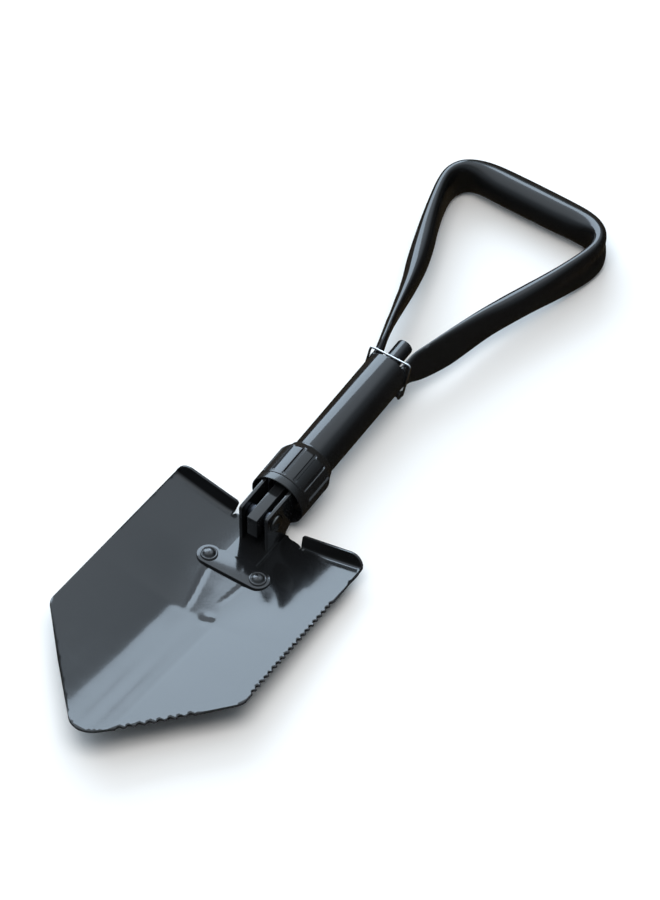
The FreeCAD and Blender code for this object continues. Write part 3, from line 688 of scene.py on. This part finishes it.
tube_skin = new_object("tube_skin", tube_mesh(), "shaft", black_paint, ["shaft_tube"])
slot_outline = rounded([
    (-SLOT_HALF_WIDTH, 2.0), (SLOT_HALF_WIDTH, 2.0),
    (SLOT_HALF_WIDTH, -SLOT_LENGTH), (-SLOT_HALF_WIDTH, -SLOT_LENGTH),
], 3.0, 6, closed=True)
cutter_mesh = prism("cutter", slot_outline, -20.0, 0.0, 0, "Z")
cutter_mesh.transform(LIE)
cutter = bpy.data.objects.new("cutter", cutter_mesh)
bpy.context.scene.collection.objects.link(cutter)
slot_cut = tube_skin.modifiers.new("slot", "BOOLEAN")
slot_cut.operation = "DIFFERENCE"
slot_cut.object = cutter
bpy.context.view_layer.update()
cut_mesh = bpy.data.meshes.new_from_object(tube_skin.evaluated_get(bpy.context.evaluated_depsgraph_get()))
tube_skin.modifiers.clear()
tube_skin.data = cut_mesh
bpy.data.objects.remove(cutter)
cut_mesh.set_sharp_from_angle(angle=math.radians(40))


def thread_mesh():
    """Sleeve with a helical thread on its lower part."""
    around, turns, pitch = 72, 5.6, 4.0
    start = -104.8
    rows = []
    steps = int(turns * pitch / 0.25)
    profile = [(12.3, -68.6), (13.8, -68.6), (13.8, start)]
    points = []
    for radius, y in profile:
        rows.append([(radius, y)] * around)
    for i in range(steps + 1):
        y = start - i * 0.25
        ring = []
        for k in range(around):
            phase = ((start - y) / pitch + k / around) % 1.0
            height = max(0.0, min(1.0, 2.2 - abs(phase - 0.5) * 6.0))
            fade = smooth_step((start - y) / 2.0) * smooth_step((y + 127.9) / 1.2)
            ring.append((15.82 + 0.7 * height * fade, y))
        rows.append(ring)
    rows.append([(15.2, -127.95)] * around)
    rows.append([(12.3, -127.95)] * around)
    for ring in rows:
        for k, (radius, y) in enumerate(ring):
            angle = 2 * math.pi * k / around
            points.append((radius * math.sin(angle), y, radius * math.cos(angle)))
    return mesh_from("thread", points, ring_faces(len(rows), around, joined=True))


new_object("thread_skin", thread_mesh(), "shaft", thread_steel, ["threaded_sleeve"])

pin_ends = []
for side in (-1, 1):
    profile = rounded([(1.1, -1.0), (1.1, 15.2), (3.35, 15.2), (3.35, 14.2), (2.55, 14.2), (2.55, -1.0)],
                      0.35, 3, closed=True)
    half_pin = lathe("half_pin", profile, 40, joined=True)
    half_pin.transform(
        Matrix.Translation((0, HANDLE_PIN_Y, HANDLE_PIN_Z))
        @ Matrix.Rotation(math.radians(-90 * side), 4, "Z")
    )
    pin_ends.append(half_pin)
new_object("handle_pin_skin", joined_mesh("handle_pin", pin_ends), "shaft", pin_steel,
           ["handle_pivot_pin"], angle=50)

stud_profile = [(0.001, STUD_TOP_Y - 0.15), (3.6, STUD_TOP_Y), (5.2, STUD_TOP_Y), (5.75, STUD_TOP_Y - 0.25),
                (STUD_R, STUD_TOP_Y - 0.9), (STUD_R, -44.6), (7.9, -44.6), (7.9, -47.4), (0.001, -47.4)]
new_object("stud_skin", lathe("stud", stud_profile, 64), "plunger", stud_paint,
           ["lock_plunger"], Matrix.Translation((0, 0, STUD_Z)), 40)


# ---------------------------------------------------------------- collar

def collar_radius(radius, y, angle):
    """Cuts the grip slots into the collar's outer skin."""
    if radius < 16.95:
        return radius
    pitch = 2 * math.pi / COLLAR_SLOTS
    off = (angle + pitch / 2) % pitch - pitch / 2
    arc_mm = abs(off) * COLLAR_R
    across = 1 - smooth_step((arc_mm - 0.75) / 0.75)
    along = smooth_step((y + 128.0) / 1.2)
    floor = 19.5
    return radius - max(0.0, radius - floor) * across * along


def collar_profile():
    outer = [(15.95, -94.5), (17.0, -94.5), (17.15, -96.0), (20.7, -103.0), (20.7, -129.5), (20.15, -129.5)]
    outer = rounded(outer, 0.8, 4)
    skin = []
    for (r0, y0), (r1, y1) in zip(outer, outer[1:]):
        count = max(1, int(math.hypot(r1 - r0, y1 - y0) / 0.6))
        skin += [(r0 + (r1 - r0) * k / count, y0 + (y1 - y0) * k / count) for k in range(count)]
    skin.append(outer[-1])
    return skin + [(20.15, -126.2), (18.32, -126.2), (18.32, -104.5), (15.95, -104.5)]


def collar_skin_radius(radius, y, angle):
    inner = radius <= 18.4 or (radius < 20.2 and y < -126.0)
    return radius if inner and not (radius > 16.95 and y > -103.2) else collar_radius(radius, y, angle)


collar_mesh = lathe("collar", collar_profile(), COLLAR_SLOTS * 24, collar_skin_radius, joined=True)
new_object("collar_skin", collar_mesh, "collar", collar_paint, ["collar_sleeve"], angle=40)
ring_profile = rounded([
    (19.4, -136.0), (20.7, -136.0), (20.7, -129.8), (19.9, -129.8), (19.9, -126.6), (19.4, -126.6),
], 0.55, 5, closed=True)
new_object("ring_skin", lathe("ring", ring_profile, 160, joined=True), "collar_ring",
           collar_paint, ["collar_front_ring"], angle=50)


# ---------------------------------------------------------------- handle

# Centre x, y, z, heading from +Y towards +X, half thickness, half depth, outer waist, inner waist and
# outward lean.
HANDLE_STATIONS = [
    (11.8, 0.6, 0.0, 4.0, 3.7, 9.5, 0.00, 0.00, 0.0),
    (12.6, 6.2, 0.0, 10.0, 3.5, 9.7, 0.04, 0.04, 1.0),
    (15.0, 14.0, 0.2, 18.0, 3.5, 12.0, 0.15, 0.10, 2.2),
    (18.4, 24.0, -0.4, 18.0, 3.6, 12.8, 0.22, 0.12, 2.8),
    (22.8, 39.0, -1.4, 15.0, 4.1, 13.4, 0.20, 0.12, 3.0),
    (26.8, 56.0, -2.4, 13.5, 5.0, 13.2, 0.12, 0.08, 2.4),
    (31.4, 75.0, -3.5, 15.5, 6.2, 12.6, 0.05, 0.04, 1.4),
    (37.4, 94.0, -4.6, 18.5, 7.6, 12.2, 0.00, 0.00, 0.5),
    (44.2, 113.0, -5.6, 20.0, 7.8, 12.8, 0.04, 0.02, 0.0),
    (51.0, 131.0, -6.6, 19.5, 7.2, 14.2, 0.15, 0.08, 0.0),
    (56.6, 148.0, -7.6, 14.5, 6.6, 15.6, 0.32, 0.14, 0.0),
    (60.2, 162.0, -8.2, 6.0, 6.4, 16.3, 0.45, 0.18, 0.0),
    (60.8, 172.5, -8.6, -12.0, 6.6, 16.3, 0.48, 0.18, 0.0),
    (57.2, 181.5, -8.8, -43.0, 7.4, 15.6, 0.36, 0.14, 0.0),
    (49.5, 187.2, -9.0, -67.0, 9.4, 14.2, 0.16, 0.06, 0.0),
    (38.0, 189.6, -9.0, -84.0, 11.5, 13.0, 0.03, 0.00, 0.0),
    (18.0, 189.9, -9.0, -90.0, 12.5, 12.7, 0.00, 0.00, 0.0),
]


# Depth of each crease on the outside, its place along the leg and spread, its place across and spread:
# the pressed slot down the corner first, then small creases near the root.
HANDLE_CREASES = (
    (2.1, 11.6, 0.9, -0.05, 0.16),
    (0.8, 9.4, 1.0, 0.1, 0.3),
    (0.6, 4.3, 0.35, 0.35, 0.35),
    (0.55, 5.3, 0.3, -0.1, 0.5),
)


def spline(values, t):
    """Smooth curve through equally spaced values, t counted in steps."""
    i = max(0, min(len(values) - 2, int(t)))
    f = t - i
    a = values[max(i - 1, 0)]
    b, c = values[i], values[i + 1]
    d = values[min(i + 2, len(values) - 1)]
    square = (2 * a - 5 * b + 4 * c - d) * f * f
    return 0.5 * (2 * b + (c - a) * f + square + (3 * b - a - 3 * c + d) * f**3)


def handle_mesh():
    left = [(-s[0], s[1], s[2], -180 - s[3], *s[4:]) for s in reversed(HANDLE_STATIONS)]
    stations = HANDLE_STATIONS + left
    columns = list(zip(*stations))
    around, finer = 96, 9
    points = []
    rings = (len(stations) - 1) * finer + 1
    for i in range(rings):
        t = i / finer
        x, y, z, heading, thick, deep, outer, inner, lean = (spline(column, t) for column in columns)
        angle = math.radians(heading)
        outward = Vector((math.cos(angle), -math.sin(angle), 0))
        centre = Vector((x, y, z))
        square = 0.92 + 0.08 * (thick / deep) ** 2
        near_root = min(t, len(stations) - 1 - t)
        for k in range(around):
            p = 2 * math.pi * k / around
            depth = math.copysign(abs(math.sin(p)) ** square, math.sin(p))
            waist = outer if math.cos(p) > 0 else inner
            squeeze = 1 - waist * (1 - depth**2) ** 2
            across = thick * squeeze * math.copysign(abs(math.cos(p)) ** square, math.cos(p))
            if math.cos(p) > 0:
                for cut, place, spread, middle, reach in HANDLE_CREASES:
                    across -= cut * bump(near_root, place, spread) * bump(depth, middle, reach)
            points.append(centre + outward * (across - lean * depth) + Vector((0, 0, deep * depth)))
    skin = mesh_from("handle", points, ring_faces(rings, around, closed_ends=True))
    meshes = [skin]
    for side in (-1, 1):
        low, high = sorted((side * 6.6, side * 9.9))
        outline = arc((HANDLE_PIN_Y, HANDLE_PIN_Z), 4.8, 90, 270, 16)
        outline += [(1.6, -12.0), (6.9, -7.0), (6.9, 2.6), (HANDLE_PIN_Y, 2.6)]
        meshes.append(prism("lug", outline, low, high, 0.5))
    return joined_mesh("handle", meshes)


new_object("handle_skin", handle_mesh(), "handle", handle_paint, ["handle_tube"], angle=60)


# ---------------------------------------------------------------- wire bail

def bail_object():
    curve = bpy.data.curves.new("bail", "CURVE")
    curve.dimensions = "3D"
    half, bar_y, bar_z = 16.4, 4.4, 10.9
    corners = [
        (12.6, HANDLE_PIN_Y, HANDLE_PIN_Z, 0.0),
        (half, HANDLE_PIN_Y, HANDLE_PIN_Z, 1.4),
        (half, bar_y, bar_z, 2.6),
        (-half, bar_y, bar_z, 2.6),
        (-half, HANDLE_PIN_Y, HANDLE_PIN_Z, 1.4),
        (-12.6, HANDLE_PIN_Y, HANDLE_PIN_Z, 0.0),
    ]
    path = [Vector(corners[0][:3])]
    for before, corner, after in zip(corners, corners[1:], corners[2:]):
        middle = Vector(corner[:3])
        start = middle + (Vector(before[:3]) - middle).normalized() * corner[3]
        end = middle + (Vector(after[:3]) - middle).normalized() * corner[3]
        for k in range(9):
            t = k / 8
            path.append(start * (1 - t) ** 2 + middle * 2 * t * (1 - t) + end * t * t)
    path.append(Vector(corners[-1][:3]))
    line = curve.splines.new("POLY")
    line.points.add(len(path) - 1)
    for point, place in zip(line.points, path):
        point.co = (*place, 1)
    curve.bevel_depth = 0.88
    curve.bevel_resolution = 6
    curve.use_fill_caps = True
    holder = bpy.data.objects.new("bail_curve", curve)
    bpy.context.scene.collection.objects.link(holder)
    bpy.context.view_layer.update()
    graph = bpy.context.evaluated_depsgraph_get()
    mesh = bpy.data.meshes.new_from_object(holder.evaluated_get(graph))
    bpy.data.objects.remove(holder)
    return mesh


new_object("bail_skin", bail_object(), "bail", wire_steel, ["wire_bail"], angle=60)


# ---------------------------------------------------------------- floor, light and camera

def plane(name, size, place, material):
    bm = bmesh.new()
    bmesh.ops.create_grid(bm, x_segments=4, y_segments=4, size=size / 2)
    mesh = bpy.data.meshes.new(name)
    bm.to_mesh(mesh)
    bm.free()
    mesh.transform(place)
    mesh.materials.append(material)
    obj = bpy.data.objects.new(name, mesh)
    bpy.context.scene.collection.objects.link(obj)
    return obj


floor_nodes = Nodes("floor_paint")
floor_tones = [(0.3, (0.90, 0.865, 0.825)), (0.7, (0.92, 0.885, 0.845))]
shade = floor_nodes.ramp(floor_nodes.noise(3, 2, 0.5), floor_tones)
floor_nodes.link(shade, floor_nodes.shader.inputs["Base Color"])
floor_nodes.shader.inputs["Roughness"].default_value = 0.9
floor_nodes.shader.inputs["Specular IOR Level"].default_value = 0.1
floor = plane("floor", 12.0, Matrix.Translation((0, 0, -0.0002)), floor_nodes.material)
floor.visible_glossy = False


def card(name, azimuth, elevation, distance, width, height, power, colour):
    """Large soft light; azimuth 0 stands on the +Y side and 90 on the +X side."""
    light = bpy.data.lights.new(name, "AREA")
    light.shape = "RECTANGLE"
    light.size, light.size_y = width, height
    light.energy = power
    light.color = colour
    obj = bpy.data.objects.new(name, light)
    a, e = math.radians(azimuth), math.radians(elevation)
    toward = Vector((math.sin(a) * math.cos(e), math.cos(a) * math.cos(e), math.sin(e)))
    obj.location = toward * distance
    obj.rotation_euler = toward.to_track_quat("Z", "Y").to_euler()
    bpy.context.scene.collection.objects.link(obj)
    return obj


card("window_card", -50, 29, 3.0, 2.9, 2.0, 88, (0.68, 0.84, 1.0))
fill = card("ceiling_card", 150, 75, 3.0, 2.2, 1.6, 45, (1.0, 1.0, 1.0))
fill.visible_glossy = False

world = bpy.data.worlds.new("studio")
bpy.context.scene.world = world
world.use_nodes = True
tree = world.node_tree
direction = tree.nodes.new("ShaderNodeTexCoord")
split = tree.nodes.new("ShaderNodeSeparateXYZ")
tree.links.new(direction.outputs["Generated"], split.inputs["Vector"])
sky = tree.nodes.new("ShaderNodeValToRGB")
for position, colour in (
    (0.25, (0.11, 0.11, 0.11, 1)),
    (0.62, (0.62, 0.74, 0.86, 1)),
    (0.80, (1.0, 1.15, 1.3, 1)),
):
    sky.color_ramp.elements.new(position).color = colour
sky.color_ramp.elements[0].color = (0.075, 0.058, 0.036, 1)
sky.color_ramp.elements[-1].color = (0.9, 1.0, 1.1, 1)
tree.links.new(split.outputs["Z"], sky.inputs["Fac"])
# The side toward the window is brighter and the far side falls off slowly.
toward_window = tree.nodes.new("ShaderNodeVectorMath")
toward_window.operation = "DOT_PRODUCT"
toward_window.inputs[1].default_value = (-0.627, 0.527, 0.574)
tree.links.new(direction.outputs["Generated"], toward_window.inputs[0])
falloff = tree.nodes.new("ShaderNodeValToRGB")
for position, level in ((0.35, 0.45), (0.62, 1.05)):
    falloff.color_ramp.elements.new(position).color = (level, level, level, 1)
falloff.color_ramp.elements[0].color = (0.35, 0.35, 0.35, 1)
falloff.color_ramp.elements[-1].color = (1.35, 1.35, 1.35, 1)
tree.links.new(toward_window.outputs["Value"], falloff.inputs["Fac"])
shaded = tree.nodes.new("ShaderNodeMix")
shaded.data_type, shaded.blend_type = "RGBA", "MULTIPLY"
shaded.inputs["Factor"].default_value = 1.0
tree.links.new(sky.outputs["Color"], shaded.inputs["A"])
tree.links.new(falloff.outputs["Color"], shaded.inputs["B"])
tree.links.new(shaded.outputs["Result"], tree.nodes["Background"].inputs["Color"])

CAMERA_DISTANCE, OFF_LEFT, OFF_DOWN = 5502, 39.47, 54.64
azimuth, elevation, roll = math.radians(33.912), math.radians(51.390), math.radians(-0.307)
back = Vector((
    math.sin(azimuth) * math.cos(elevation),
    -math.cos(azimuth) * math.cos(elevation),
    math.sin(elevation),
))
right = Vector((math.cos(azimuth), math.sin(azimuth), 0))
up = back.cross(right)
across = right * math.cos(roll) + up * math.sin(roll)
upward = up * math.cos(roll) - right * math.sin(roll)
eye = back * CAMERA_DISTANCE - across * OFF_LEFT - upward * OFF_DOWN
turn = LIE.to_3x3() * 1000
camera_data = bpy.data.cameras.new("camera")
camera_data.lens, camera_data.sensor_width = 320.0, 36.0
camera_data.clip_start, camera_data.clip_end = 0.1, 50.0
camera = bpy.data.objects.new("camera", camera_data)
facing = Matrix([turn @ across, turn @ upward, turn @ back]).transposed().to_4x4()
camera.matrix_world = Matrix.Translation(LIE @ eye) @ facing
bpy.context.scene.collection.objects.link(camera)
bpy.context.scene.camera = camera
bpy.context.scene.view_settings.view_transform = "Standard"
